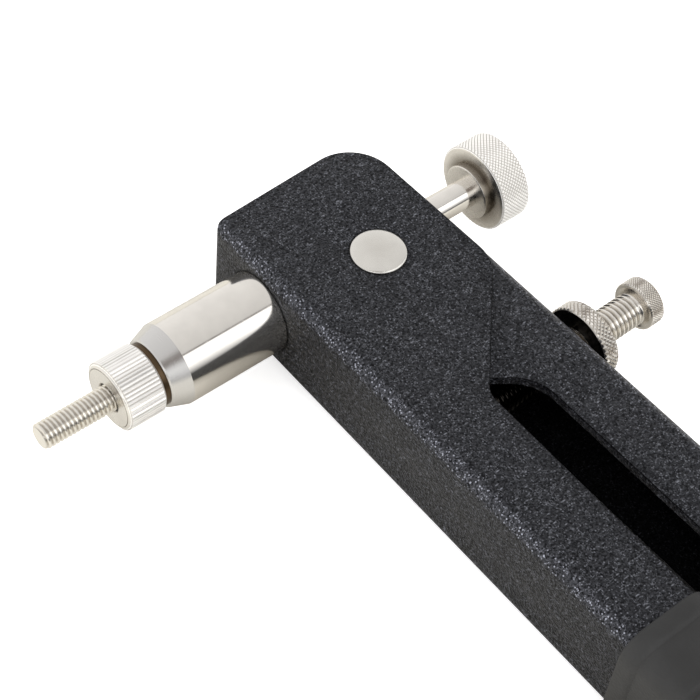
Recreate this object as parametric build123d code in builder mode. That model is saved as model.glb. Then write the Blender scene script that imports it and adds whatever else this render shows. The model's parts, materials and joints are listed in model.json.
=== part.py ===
from build123d import *
from math import cos, radians, sin, tan
import os

# Hand-lever rivet nut setter, lying on its side, in millimetres.
# Origin: centre of the anvil sleeve's front face. +X runs out along the mandrel, +Y runs down the
# handles and +Z is square to the upper cheek, along the pivot rivet.

os.makedirs("parts", exist_ok=True)

# ---- Driving dimensions ----

sheet = 2.2             # pressed steel of both channels
bend_radius = 3.0       # outside radius of a channel's folds
running_gap = 0.05      # radial clearance of everything that turns or slides
edge_break = 0.3        # small chamfer on turned parts
edge_chamfer = 0.5      # chamfer on knurled and threaded parts

# Body channel: head, cheeks and front handle
body_half_width = 12.6
web_x = -39.4           # front face of the body's web
head_end_y = -16.9      # end of the head, at the web
head_end_slope = 2.8    # degrees that the head's end edge falls away from square
head_back_x = -80.4     # back edge of the cheeks beside the spindle
head_back_lean = 3.4    # degrees that the back edge leans out towards the handle
head_corner_radius = 10.5
head_front_radius = 2.0
shoulder_y = 25.4       # where the back edge turns into the sloping shoulder
shoulder_angle = 47.0   # slope of the shoulder, from the X axis
shoulder_radius = 10.0
crotch_radius = 5.0     # where the shoulder meets the handle
handle_depth = 17.6     # front handle, from web to cheek edge
handle_end_y = 205.0

# Pivot rivet and lever
pivot_x = -62.9
pivot_y = 9.8
rivet_shank_radius = 3.5
rivet_head_radius = 6.15
rivet_rim = 0.3
rivet_dome = 0.9
cheek_gap = 0.3         # side clearance between lever and body cheeks
lever_tilt = 1.0        # degrees that the lever leans back from the front handle
lever_back_u = -21.3    # back face of the lever's web, from the pivot
lever_front_u = -5.44   # front edge of the lever's handle
lever_cheek_u = 8.6     # front edge of the lever's wide cheeks
lever_end_v = 195.0

# Spindle line: anvil, mandrel, housing, yoke and knob
anvil_radius = 8.0
anvil_length = 9.3      # knurled part of the sleeve
anvil_neck_radius = 7.3
anvil_bore_radius = 3.25
anvil_thread_radius = 6.0
anvil_rim = 0.65        # chamfer round the sleeve's front face
housing_front_x = -10.5
anvil_thread_end_x = -15.0
cone_end_x = -15.0
housing_radius = 9.5
spigot_radius = 7.0
housing_nut_flats = 19.0
housing_nut_length = 6.0
lock_washer_radius = 9.8
lock_washer_thickness = 1.0
spigot_end_x = -49.0
housing_step_x = -38.0  # shoulder in the housing that the return spring rests on
mandrel_radius = 2.975  # M6 thread, at its crests
mandrel_tip_x = 16.87
mandrel_core_radius = 2.6
mandrel_stub_radius = 3.0
mandrel_hex_flats = 8.0
mandrel_hex_length = 2.0
coupling_front_x = -22.4
coupling_length = 9.0
coupling_radius = 5.6
coupling_socket = 5.0   # depth of the coupling's front socket, which holds the mandrel's stub
coupling_pin_radius = 0.75
spring_seat_thickness = 0.8
spindle_radius = 3.4
yoke_length = 11.0
yoke_height = 12.0
yoke_corner_radius = 1.5
yoke_play = 0.28        # side clearance between the yoke and the lever's cheeks
trunnion_radius = 3.5
lever_travel_ratio = 10.4   # yoke travel per radian of lever swing
lever_open = 28.0           # degrees of lever swing from rest to fully open
thrust_washer_thickness = 1.2
collar_length = 6.0
collar_radius = 6.0
collar_pin_radius = 1.0
snap_ring_thickness = 0.9
snap_ring_radius = 5.4
snap_ring_opening = 3.6
groove_radius = 2.9     # bottom of the snap ring's groove in the spindle
pin_recess = 0.2        # how far each cross pin's ends lie below the surface round them
knob_boss_x = -98.3
knob_front_x = -100.3
knob_back_x = -108.5
knob_radius = 10.45
knob_boss_radius = 6.6
knob_seat_radius = 3.0  # where the knob sits on the spindle's end
knob_recess_radius = 4.6
knob_recess_depth = 2.2
knob_screw_radius = 2.0
knob_screw_length = 7.0
knob_screw_head_radius = 3.6
knob_screw_head_height = 2.0
knob_screw_head_side = 1.0  # straight side of the button head, before it rounds over
knob_screw_crown_radius = 2.4
knob_screw_hex_flats = 2.5
knob_screw_hex_depth = 1.2

# Stop screw (M8) in the lever's web, with its lock nut
stop_v = 37.9           # screw axis, down the lever from the pivot
stop_radius = 3.9
stop_tip_u = 20.5
stop_tip_chamfer = 0.8
stop_cup_depth = 0.6    # shallow hollow in the head's front face, round the shaft
stop_cup_radius = 4.85
stop_head_u = -42.2     # front face of the knurled head
stop_head_radius = 5.7
stop_head_length = 4.05
stop_nut_chamfer = 0.4  # round the lock nut's rims and the head's back
lock_nut_u = -24.8      # front face of the lock nut
lock_nut_radius = 8.9
lock_nut_length = 4.0
weld_nut_flats = 13.0
weld_nut_length = 6.0

# Grips
grip_wall = 2.4
grip_length = 95.0
grip_corner_radius = 5.0
grip_end_radius = 2.0

# ---- Derived places ----

body_inner_half = body_half_width - sheet
lever_half_width = body_inner_half - cheek_gap
lever_inner_half = lever_half_width - sheet
web_inner_x = web_x - sheet
handle_back_x = web_x - handle_depth

# The lever's own frame: u runs forward from the pivot, v runs down the lever
lever_plane = Plane(
    origin=(pivot_x, pivot_y, 0),
    x_dir=(cos(radians(lever_tilt)), sin(radians(lever_tilt)), 0),
    z_dir=(0, 0, 1),
)

# ---- Shapes that repeat ----


def profile(points, plane=Plane.XY):
    """A closed straight-sided face through the points, on a plane."""
    with BuildSketch(plane) as face:
        with BuildLine():
            Polyline(*points, close=True)
        make_face()
    return face.sketch


def ring_section(x_front, x_back, inner, outer):
    """Half section of a plain ring round the spindle line."""
    return profile([(x_front, inner), (x_front, outer), (x_back, outer), (x_back, inner)])


def channel_section(plane, web, opening, half_width):
    """Section of a folded channel on a plane: web on one side, open on the other, folds rounded."""
    web_side = 0 if web < opening else -1
    inner_web = web + (sheet if web < opening else -sheet)
    with BuildSketch(plane) as section:
        with Locations(((web + opening) / 2, 0)):
            Rectangle(abs(opening - web), 2 * half_width)
        fillet(section.vertices().group_by(Axis.X)[web_side], bend_radius)
        with Locations(((inner_web + opening) / 2, 0)):
            Rectangle(abs(opening - inner_web), 2 * (half_width - sheet), mode=Mode.SUBTRACT)
        inner_folds = section.vertices().filter_by_position(Axis.X, inner_web - 0.01, inner_web + 0.01)
        fillet(inner_folds, bend_radius - sheet)
    return section.sketch


def corner(outline, x, y):
    """The corner of an outline nearest to a point."""
    return outline.vertices().sort_by_distance((x, y, 0))[0]


# ---- Frame: body channel, rivet, housing and its fastening ----

head_back_y = head_end_y - (web_x - head_back_x) * tan(radians(head_end_slope))
shoulder_x = head_back_x - (shoulder_y - head_back_y) / 2 * tan(radians(head_back_lean))
crotch_y = shoulder_y + (handle_back_x - shoulder_x) * tan(radians(shoulder_angle))

with BuildPart() as body_channel:
    head_plane = Plane(origin=(0, head_back_y, 0), x_dir=(1, 0, 0), z_dir=(0, 1, 0))
    extrude(channel_section(head_plane, web_x, shoulder_x, body_half_width),
            amount=handle_end_y - head_back_y)
    with BuildSketch(Plane.XY.offset(-body_half_width)) as cheek:
        with BuildLine():
            Polyline((web_x, head_end_y), (head_back_x, head_back_y), (shoulder_x, shoulder_y),
                     (handle_back_x, crotch_y), (handle_back_x, handle_end_y),
                     (web_x, handle_end_y), close=True)
        make_face()
        fillet(corner(cheek, web_x, head_end_y), head_front_radius)
        fillet(corner(cheek, head_back_x, head_back_y), head_corner_radius)
        fillet(corner(cheek, shoulder_x, shoulder_y), shoulder_radius)
        fillet(corner(cheek, handle_back_x, crotch_y), crotch_radius)
    extrude(amount=2 * body_half_width, mode=Mode.INTERSECT)
    with Locations((pivot_x, pivot_y, 0)):
        Hole(rivet_shank_radius)
    with BuildSketch(Plane.YZ.offset(web_inner_x)):
        Circle(spigot_radius)
    extrude(amount=sheet, mode=Mode.SUBTRACT)
body_channel.part.label = "body_channel"
export_step(body_channel.part, "parts/body_channel.step")

# One rivet: a shank through both channels, with the same domed head at each end
rim_top = body_half_width + rivet_rim
with BuildPart() as pivot_rivet:
    with BuildSketch(Plane(origin=(pivot_x, pivot_y, 0), x_dir=(1, 0, 0), z_dir=(0, -1, 0))):
        with BuildLine():
            dome = SagittaArc((0, rim_top + rivet_dome), (rivet_head_radius, rim_top), 0.25 * rivet_dome)
            Polyline(dome @ 1, (rivet_head_radius, body_half_width),
                     (rivet_shank_radius, body_half_width), (rivet_shank_radius, 0), (0, 0), dome @ 0)
        make_face()
    revolve(axis=Axis((pivot_x, pivot_y, 0), (0, 0, 1)))
    mirror(about=Plane.XY)
pivot_rivet.part.label = "pivot_rivet"
export_step(pivot_rivet.part, "parts/pivot_rivet.step")

# Nose housing: cone, barrel, shoulder on the web, spigot through it and a stepped bore
guide_bore_radius = spindle_radius + 0.2
with BuildPart() as nose_housing:
    revolve(profile([
        (housing_front_x, anvil_thread_radius + running_gap),
        (housing_front_x, anvil_radius - edge_break),
        (housing_front_x - edge_break, anvil_radius),
        (cone_end_x, housing_radius),
        (web_x, housing_radius),
        (web_x, spigot_radius),
        (spigot_end_x, spigot_radius),
        (spigot_end_x, guide_bore_radius),
        (housing_step_x, guide_bore_radius),
        (housing_step_x, anvil_thread_radius + running_gap),
    ]), axis=Axis.X)
nose_housing.part.label = "nose_housing"
export_step(nose_housing.part, "parts/nose_housing.step")

lock_washer_back_x = web_inner_x - lock_washer_thickness
housing_nut_back_x = lock_washer_back_x - housing_nut_length
with BuildPart() as housing_lock_washer:
    revolve(ring_section(web_inner_x, lock_washer_back_x, spigot_radius, lock_washer_radius), axis=Axis.X)
housing_lock_washer.part.label = "housing_lock_washer"
export_step(housing_lock_washer.part, "parts/housing_lock_washer.step")

with BuildPart() as housing_nut:
    with BuildSketch(Plane.YZ.offset(housing_nut_back_x)):
        RegularPolygon(housing_nut_flats / 2, 6, major_radius=False)
        Circle(spigot_radius, mode=Mode.SUBTRACT)
    extrude(amount=lock_washer_back_x - housing_nut_back_x)
housing_nut.part.label = "housing_nut"
export_step(housing_nut.part, "parts/housing_nut.step")

# ---- Anvil sleeve: knurled ring, neck and threaded spigot ----

with BuildPart() as anvil_sleeve:
    revolve(profile([
        (0, anvil_bore_radius),
        (0, anvil_radius - anvil_rim),
        (-anvil_rim, anvil_radius),
        (edge_chamfer - anvil_length, anvil_radius),
        (-anvil_length, anvil_radius - edge_chamfer),
        (-anvil_length, anvil_neck_radius),
        (housing_front_x, anvil_neck_radius),
        (housing_front_x, anvil_thread_radius),
        (anvil_thread_end_x, anvil_thread_radius),
        (anvil_thread_end_x, anvil_bore_radius),
    ]), axis=Axis.X)
anvil_sleeve.part.label = "anvil_sleeve"
export_step(anvil_sleeve.part, "parts/anvil_sleeve.step")

# ---- Spindle line: everything that turns with the rear knob ----

coupling_back_x = coupling_front_x - coupling_length
coupling_step_x = coupling_front_x - coupling_socket
coupling_pin_x = (coupling_step_x + coupling_back_x) / 2
yoke_front_x = pivot_x + yoke_length / 2
yoke_back_x = pivot_x - yoke_length / 2
washer_front_x = yoke_back_x - running_gap
washer_back_x = washer_front_x - thrust_washer_thickness
collar_front_x = washer_back_x - running_gap
collar_back_x = collar_front_x - collar_length
collar_pin_x = (collar_front_x + collar_back_x) / 2
snap_ring_back_x = yoke_front_x + running_gap
snap_ring_front_x = snap_ring_back_x + snap_ring_thickness
knob_recess_x = knob_back_x + knob_recess_depth
knob_seat_end_x = knob_recess_x + edge_break
knob_screw_head_x = knob_recess_x - knob_screw_head_height
knob_screw_end_x = knob_recess_x + knob_screw_length

with BuildPart() as mandrel:
    revolve(profile([
        (mandrel_tip_x, 0),
        (mandrel_tip_x, mandrel_radius - edge_chamfer),
        (mandrel_tip_x - edge_chamfer, mandrel_radius),
        (0, mandrel_radius),
        (0, mandrel_core_radius),
        (coupling_front_x, mandrel_core_radius),
        (coupling_front_x, mandrel_stub_radius),
        (coupling_step_x, mandrel_stub_radius),
        (coupling_step_x, 0),
    ]), axis=Axis.X)
    with BuildSketch(Plane.YZ.offset(coupling_front_x)):
        RegularPolygon(mandrel_hex_flats / 2, 6, major_radius=False)
    extrude(amount=mandrel_hex_length)
mandrel.part.label = "mandrel"
export_step(mandrel.part, "parts/mandrel.step")

with BuildPart() as mandrel_coupling:
    revolve(profile([
        (coupling_front_x, mandrel_stub_radius),
        (coupling_front_x, coupling_radius),
        (coupling_back_x, coupling_radius),
        (coupling_back_x, spindle_radius),
        (coupling_step_x, spindle_radius),
        (coupling_step_x, mandrel_stub_radius),
    ]), axis=Axis.X)
    with Locations((coupling_pin_x, 0, 0)):
        Hole(coupling_pin_radius)
mandrel_coupling.part.label = "mandrel_coupling"
export_step(mandrel_coupling.part, "parts/mandrel_coupling.step")

with BuildPart() as spindle:
    revolve(profile([
        (coupling_step_x, 0),
        (coupling_step_x, spindle_radius),
        (snap_ring_front_x, spindle_radius),
        (snap_ring_front_x, groove_radius),
        (snap_ring_back_x, groove_radius),
        (snap_ring_back_x, spindle_radius),
        (knob_boss_x, spindle_radius),
        (knob_boss_x, knob_seat_radius),
        (knob_seat_end_x, knob_seat_radius),
        (knob_seat_end_x, knob_screw_radius),
        (knob_screw_end_x, knob_screw_radius),
        (knob_screw_end_x, 0),
    ]), axis=Axis.X)
    with Locations((coupling_pin_x, 0, 0)):
        Hole(coupling_pin_radius)
    with Locations((collar_pin_x, 0, 0)):
        Hole(collar_pin_radius)
spindle.part.label = "spindle"
export_step(spindle.part, "parts/spindle.step")

with BuildPart() as coupling_pin:
    with BuildSketch(Plane((coupling_pin_x, 0, 0))):
        Circle(coupling_pin_radius)
    extrude(amount=coupling_radius - pin_recess, both=True)
coupling_pin.part.label = "coupling_pin"
export_step(coupling_pin.part, "parts/coupling_pin.step")

spring_front_x = coupling_back_x - spring_seat_thickness
with BuildPart() as spring_seat_washer:
    revolve(ring_section(coupling_back_x, spring_front_x, spindle_radius, coupling_radius), axis=Axis.X)
spring_seat_washer.part.label = "spring_seat_washer"
export_step(spring_seat_washer.part, "parts/spring_seat_washer.step")

with BuildPart() as thrust_collar:
    revolve(ring_section(collar_front_x, collar_back_x, spindle_radius, collar_radius), axis=Axis.X)
    with Locations((collar_pin_x, 0, 0)):
        Hole(collar_pin_radius)
thrust_collar.part.label = "thrust_collar"
export_step(thrust_collar.part, "parts/thrust_collar.step")

with BuildPart() as collar_pin:
    with BuildSketch(Plane((collar_pin_x, 0, 0))):
        Circle(collar_pin_radius)
    extrude(amount=collar_radius - pin_recess, both=True)
collar_pin.part.label = "collar_pin"
export_step(collar_pin.part, "parts/collar_pin.step")

# Snap ring: open on one side, seated in the spindle's groove
with BuildPart() as yoke_snap_ring:
    with BuildSketch(Plane.YZ.offset(snap_ring_back_x)):
        Circle(snap_ring_radius)
        Circle(groove_radius, mode=Mode.SUBTRACT)
        with Locations((0, -snap_ring_radius)):
            Rectangle(snap_ring_opening, 2 * snap_ring_radius, mode=Mode.SUBTRACT)
    extrude(amount=snap_ring_front_x - snap_ring_back_x)
yoke_snap_ring.part.label = "yoke_snap_ring"
export_step(yoke_snap_ring.part, "parts/yoke_snap_ring.step")

with BuildPart() as rear_knob:
    revolve(profile([
        (knob_boss_x, knob_seat_radius),
        (knob_boss_x, knob_boss_radius - edge_break),
        (knob_boss_x - edge_break, knob_boss_radius),
        (knob_front_x, knob_boss_radius),
        (knob_front_x, knob_radius - edge_chamfer),
        (knob_front_x - edge_chamfer, knob_radius),
        (knob_back_x + edge_chamfer, knob_radius),
        (knob_back_x, knob_radius - edge_chamfer),
        (knob_back_x, knob_recess_radius),
        (knob_recess_x, knob_recess_radius),
        (knob_recess_x, knob_seat_radius),
    ]), axis=Axis.X)
rear_knob.part.label = "rear_knob"
export_step(rear_knob.part, "parts/rear_knob.step")

with BuildPart() as knob_screw:
    revolve(profile([
        (knob_screw_end_x, 0),
        (knob_screw_end_x, knob_screw_radius),
        (knob_recess_x, knob_screw_radius),
        (knob_recess_x, knob_screw_head_radius),
        (knob_recess_x - knob_screw_head_side, knob_screw_head_radius),
        (knob_screw_head_x, knob_screw_crown_radius),
        (knob_screw_head_x, 0),
    ]), axis=Axis.X)
    with BuildSketch(Plane.YZ.offset(knob_screw_head_x)):
        RegularPolygon(knob_screw_hex_flats / 2, 6, major_radius=False)
    extrude(amount=knob_screw_hex_depth, mode=Mode.SUBTRACT)
knob_screw.part.label = "knob_screw"
export_step(knob_screw.part, "parts/knob_screw.step")

# ---- Return spring: a round-wire coil between the housing's step and the seat washer ----

wire_radius = 0.5
coil_radius = 4.6
coil_turns = 3.5
coil_start_x = housing_step_x + running_gap + wire_radius
coil_height = spring_front_x - running_gap - wire_radius - coil_start_x
with BuildPart() as return_spring:
    with BuildLine() as coil:
        Helix(coil_height / coil_turns, coil_height, coil_radius, (coil_start_x, 0, 0), (1, 0, 0))
    with BuildSketch(Plane(origin=coil.line @ 0, z_dir=coil.line % 0)):
        Circle(wire_radius)
    sweep(path=coil.line, is_frenet=True)
return_spring.part.label = "return_spring"
export_step(return_spring.part, "parts/return_spring.step")

# ---- Yoke: the block on the spindle that the lever pulls back ----

yoke_half_width = lever_inner_half - yoke_play
pin_root_z = spindle_radius + 0.6   # each pin starts just clear of the spindle's bore
pin_end_z = lever_half_width - 0.1


def trunnion_circle(side):
    """Foot of one trunnion pin, on a plane that faces outwards."""
    with BuildSketch(Plane((pivot_x, 0, side * pin_root_z), z_dir=(0, 0, side))) as foot:
        Circle(trunnion_radius)
    return foot.sketch


with BuildPart() as yoke:
    with Locations((pivot_x, 0, 0)):
        Box(yoke_length, yoke_height, 2 * yoke_half_width)
    fillet(yoke.edges().filter_by(Axis.Z), yoke_corner_radius)
    with Locations(Plane.YZ.offset(pivot_x)):
        Hole(spindle_radius + running_gap)
    for side in (1, -1):
        extrude(trunnion_circle(side), amount=yoke_half_width, mode=Mode.SUBTRACT)
yoke.part.label = "yoke"
export_step(yoke.part, "parts/yoke.step")

with BuildPart() as trunnion_pins:
    for side in (1, -1):
        extrude(trunnion_circle(side), amount=pin_end_z - pin_root_z)
trunnion_pins.part.label = "trunnion_pins"
export_step(trunnion_pins.part, "parts/trunnion_pins.step")

with BuildPart() as thrust_washer:
    revolve(ring_section(washer_front_x, washer_back_x, spindle_radius + running_gap, collar_radius),
            axis=Axis.X)
thrust_washer.part.label = "thrust_washer"
export_step(thrust_washer.part, "parts/thrust_washer.step")

# ---- Lever: inner channel with trunnion slots and a fork round the spindle ----

# The trunnion's place in the lever's frame at rest and fully open sets the slot in each cheek
rest_angle = radians(lever_tilt)
open_angle = radians(lever_tilt + lever_open)
open_travel = lever_travel_ratio * radians(lever_open)
slot_u = -pivot_y * sin(rest_angle)
slot_rest_v = -pivot_y * cos(rest_angle)
slot_open_v = -pivot_y * cos(open_angle) - open_travel * sin(open_angle)
slot_play = 0.35

arm_top_v = -19.0       # top of the arm that holds the trunnion slot
back_top_v = -15.8      # top of the web side of the cheek
fork_half_width = 3.9
fork_end_v = 1.0        # centre of the fork's round end
wide_cheek_end_v = 33.8
lever_crotch_v = 43.5
lever_back_radius = 7.0
lever_arm_radius = lever_cheek_u - 0.2  # all but rounds off the arm's end
lever_cheek_radius = 6.0
lever_crotch_radius = 11.0
stop_hole_radius = stop_radius + 0.2

with BuildPart() as lever_channel:
    lever_top = Plane(
        origin=lever_plane.from_local_coords((0, arm_top_v, 0)),
        x_dir=lever_plane.x_dir,
        z_dir=lever_plane.y_dir,
    )
    extrude(channel_section(lever_top, lever_back_u, lever_cheek_u, lever_half_width),
            amount=lever_end_v - arm_top_v)
    with BuildSketch(lever_plane.offset(-lever_half_width)) as lever_cheek:
        with BuildLine():
            Polyline((lever_back_u, back_top_v), (0, arm_top_v), (lever_cheek_u, arm_top_v),
                     (lever_cheek_u, wide_cheek_end_v), (lever_front_u, lever_crotch_v),
                     (lever_front_u, lever_end_v), (lever_back_u, lever_end_v), close=True)
        make_face()
        fillet(corner(lever_cheek, lever_back_u, back_top_v), lever_back_radius)
        fillet(corner(lever_cheek, lever_cheek_u, arm_top_v), lever_arm_radius)
        fillet(corner(lever_cheek, lever_cheek_u, wide_cheek_end_v), lever_cheek_radius)
        fillet(corner(lever_cheek, lever_front_u, lever_crotch_v), lever_crotch_radius)
    extrude(amount=2 * lever_half_width, mode=Mode.INTERSECT)
    with Locations(lever_plane):
        Hole(rivet_shank_radius + running_gap)
    with BuildSketch(lever_plane.offset(-lever_half_width)):
        with Locations((slot_u, (slot_rest_v + slot_open_v) / 2)):
            SlotCenterToCenter(slot_rest_v - slot_open_v, 2 * (trunnion_radius + slot_play), rotation=90)
    extrude(amount=2 * lever_half_width, mode=Mode.SUBTRACT)
    web_plane = Plane(
        origin=lever_plane.from_local_coords((lever_back_u, 0, 0)),
        x_dir=lever_plane.y_dir,
        z_dir=lever_plane.x_dir,
    )
    with BuildSketch(web_plane):
        with Locations(((arm_top_v + fork_end_v) / 2, 0)):
            Rectangle(fork_end_v - arm_top_v, 2 * fork_half_width)
        with Locations((fork_end_v, 0)):
            Circle(fork_half_width)
        with Locations((stop_v, 0)):
            Circle(stop_hole_radius)
    extrude(amount=sheet, mode=Mode.SUBTRACT)
lever_channel.part.label = "lever_channel"
export_step(lever_channel.part, "parts/lever_channel.step")

# ---- Stop screw, its lock nut and the nut welded inside the web ----

stop_plane = Plane(
    origin=lever_plane.from_local_coords((0, stop_v, 0)), x_dir=lever_plane.x_dir, z_dir=(0, 0, 1)
)
stop_axis = Axis(stop_plane.origin, stop_plane.x_dir)
stop_bore = stop_radius + running_gap
stop_head_back_u = stop_head_u - stop_head_length
lock_nut_back_u = lock_nut_u - lock_nut_length

with BuildPart() as stop_screw:
    revolve(profile([
        (stop_tip_u, 0),
        (stop_tip_u, stop_radius - stop_tip_chamfer),
        (stop_tip_u - stop_tip_chamfer, stop_radius),
        (stop_head_u - stop_cup_depth, stop_radius),
        (stop_head_u, stop_cup_radius),
        (stop_head_u, stop_head_radius - edge_break),
        (stop_head_u - edge_break, stop_head_radius),
        (stop_head_back_u + stop_nut_chamfer, stop_head_radius),
        (stop_head_back_u, stop_head_radius - stop_nut_chamfer),
        (stop_head_back_u, 0),
    ], stop_plane), axis=stop_axis)
stop_screw.part.label = "stop_screw"
export_step(stop_screw.part, "parts/stop_screw.step")

with BuildPart() as stop_lock_nut:
    revolve(profile([
        (lock_nut_u, stop_bore),
        (lock_nut_u, lock_nut_radius - stop_nut_chamfer),
        (lock_nut_u - stop_nut_chamfer, lock_nut_radius),
        (lock_nut_back_u + stop_nut_chamfer, lock_nut_radius),
        (lock_nut_back_u, lock_nut_radius - stop_nut_chamfer),
        (lock_nut_back_u, stop_bore),
    ], stop_plane), axis=stop_axis)
stop_lock_nut.part.label = "stop_lock_nut"
export_step(stop_lock_nut.part, "parts/stop_lock_nut.step")

with BuildPart() as stop_weld_nut:
    weld_nut_plane = Plane(
        origin=lever_plane.from_local_coords((lever_back_u + sheet, stop_v, 0)),
        x_dir=lever_plane.y_dir,
        z_dir=lever_plane.x_dir,
    )
    with BuildSketch(weld_nut_plane):
        RegularPolygon(weld_nut_flats / 2, 6, major_radius=False)
        Circle(stop_bore, mode=Mode.SUBTRACT)
    extrude(amount=weld_nut_length)
stop_weld_nut.part.label = "stop_weld_nut"
export_step(stop_weld_nut.part, "parts/stop_weld_nut.step")

# ---- Grips: soft sleeves with closed ends, pulled over both handles ----


def grip_sleeve(mouth, web, edge, half_width, handle_run):
    """Sleeve round a handle: mouth is a plane across the handle, web and edge its two sides."""
    middle = (web + edge) / 2
    with BuildPart() as sleeve:
        with BuildSketch(mouth):
            with Locations((middle, 0)):
                RectangleRounded(abs(edge - web) + 2 * grip_wall, 2 * (half_width + grip_wall),
                                 grip_corner_radius)
        extrude(amount=handle_run + grip_wall)
        fillet(sleeve.faces().sort_by_distance(mouth.origin)[-1].edges(), grip_end_radius)
        with BuildSketch(mouth) as pocket:
            with Locations((middle, 0)):
                Rectangle(abs(edge - web), 2 * half_width)
            web_side = 0 if web < edge else -1
            fillet(pocket.vertices().group_by(Axis.X)[web_side], bend_radius)
        extrude(amount=handle_run, mode=Mode.SUBTRACT)
    return sleeve


front_mouth = Plane(origin=(0, handle_end_y - grip_length, 0), x_dir=(1, 0, 0), z_dir=(0, 1, 0))
front_grip = grip_sleeve(front_mouth, web_x, handle_back_x, body_half_width, grip_length)
front_grip.part.label = "front_grip"
export_step(front_grip.part, "parts/front_grip.step")

rear_mouth = Plane(
    origin=lever_plane.from_local_coords((0, lever_end_v - grip_length, 0)),
    x_dir=lever_plane.x_dir,
    z_dir=lever_plane.y_dir,
)
rear_grip = grip_sleeve(rear_mouth, lever_back_u, lever_front_u, lever_half_width, grip_length)
rear_grip.part.label = "rear_grip"
export_step(rear_grip.part, "parts/rear_grip.step")
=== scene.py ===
import json
import random
from collections import namedtuple
from math import cos, pi, radians, sin

import bmesh
import bpy
from mathutils import Matrix, Quaternion, Vector


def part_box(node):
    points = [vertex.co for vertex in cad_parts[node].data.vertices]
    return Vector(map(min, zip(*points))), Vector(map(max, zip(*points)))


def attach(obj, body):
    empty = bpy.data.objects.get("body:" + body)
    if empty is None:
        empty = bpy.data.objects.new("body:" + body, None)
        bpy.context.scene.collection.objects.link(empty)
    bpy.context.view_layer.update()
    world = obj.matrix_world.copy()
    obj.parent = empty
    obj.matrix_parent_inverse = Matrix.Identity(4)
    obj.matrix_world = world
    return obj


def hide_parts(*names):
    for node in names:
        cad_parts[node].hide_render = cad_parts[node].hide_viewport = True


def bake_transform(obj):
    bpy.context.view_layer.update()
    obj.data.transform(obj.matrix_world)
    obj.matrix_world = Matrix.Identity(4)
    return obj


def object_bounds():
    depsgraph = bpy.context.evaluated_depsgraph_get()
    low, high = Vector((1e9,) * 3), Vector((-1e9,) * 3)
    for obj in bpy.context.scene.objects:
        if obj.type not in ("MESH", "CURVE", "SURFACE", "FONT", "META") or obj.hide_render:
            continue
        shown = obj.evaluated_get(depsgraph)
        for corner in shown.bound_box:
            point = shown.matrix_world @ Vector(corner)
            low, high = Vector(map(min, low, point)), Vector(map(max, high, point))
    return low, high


# Looks of the hand-lever rivet nut setter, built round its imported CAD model.
# Lengths are metres in the model's frame: +X runs out along the mandrel, +Y down the handles and +Z up
# through the pivot rivet. A length written with MM is in millimetres.

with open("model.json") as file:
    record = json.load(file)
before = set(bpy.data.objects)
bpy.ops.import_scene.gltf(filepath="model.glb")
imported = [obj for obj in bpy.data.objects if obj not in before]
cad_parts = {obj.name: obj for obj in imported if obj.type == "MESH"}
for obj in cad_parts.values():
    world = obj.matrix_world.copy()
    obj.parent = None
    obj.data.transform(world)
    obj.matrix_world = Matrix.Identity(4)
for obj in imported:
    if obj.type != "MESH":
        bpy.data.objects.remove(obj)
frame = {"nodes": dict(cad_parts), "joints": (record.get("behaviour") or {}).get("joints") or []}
cad_low, cad_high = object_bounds()

MM = 0.001
FULL_TURN = 2 * pi

# ---- Fine shapes, too small for the CAD model ----

SHEET = 2.2 * MM            # thickness of both channels
THREAD_DEPTH = 0.55         # share of the pitch
MANDREL_PITCH = 1.0 * MM
SPIGOT_PITCH = 1.0 * MM
STOP_PITCH = 1.25 * MM
KNOB_KNURL_DEPTH = 0.28 * MM
SLEEVE_KNURL_DEPTH = 0.30 * MM
STOP_KNURL_DEPTH = 0.22 * MM
NUT_KNURL_DEPTH = 0.33 * MM
RIM_WIDTH = 0.60 * MM       # raised bright rim of the anvil sleeve's front face
SLEEVE_FACE_DEPTH = 0.4 * MM

# ---- Lines that the turned pieces lie on ----

Line = namedtuple("Line", "point direction")


def middle(node):
    """Centre of a CAD node's box."""
    low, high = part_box(node)
    return (low + high) / 2


def joint_direction(name):
    """Direction of a joint's axis."""
    joint = next(joint for joint in frame["joints"] if joint["name"] == name)
    return Vector(joint["axis"]).normalized()


spindle_line = Line(Vector((0, 0, 0)), joint_direction("yoke_pull"))
stop_line = Line(middle("stop_lock_nut"), joint_direction("stop_screw_feed"))
rivet_line = Line(middle("pivot_rivet"), joint_direction("lever_swing"))


def placement(line):
    """Matrix that takes the +X axis to a line."""
    turn = Vector((1, 0, 0)).rotation_difference(line.direction)
    return Matrix.Translation(line.point) @ turn.to_matrix().to_4x4()


def distinct(values, gap=0.01 * MM):
    """Sorted values, with those closer than the gap counted once."""
    kept = []
    for value in sorted(values):
        if not kept or value - kept[-1] > gap:
            kept.append(value)
    return kept


def rims(node, line):
    """Where the faces of a turned CAD node meet: places along its line, and radii about it, both sorted."""
    model = bmesh.new()
    model.from_mesh(frame["nodes"][node].data)
    model.transform(placement(line).inverted())
    corners = [vertex.co.copy() for edge in model.edges for vertex in edge.verts
               if edge.is_boundary and abs(edge.verts[0].co.x - edge.verts[1].co.x) < 0.001 * MM]
    model.free()
    return distinct(corner.x for corner in corners), distinct(corner.yz.length for corner in corners)


# ---- Materials ----


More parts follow.
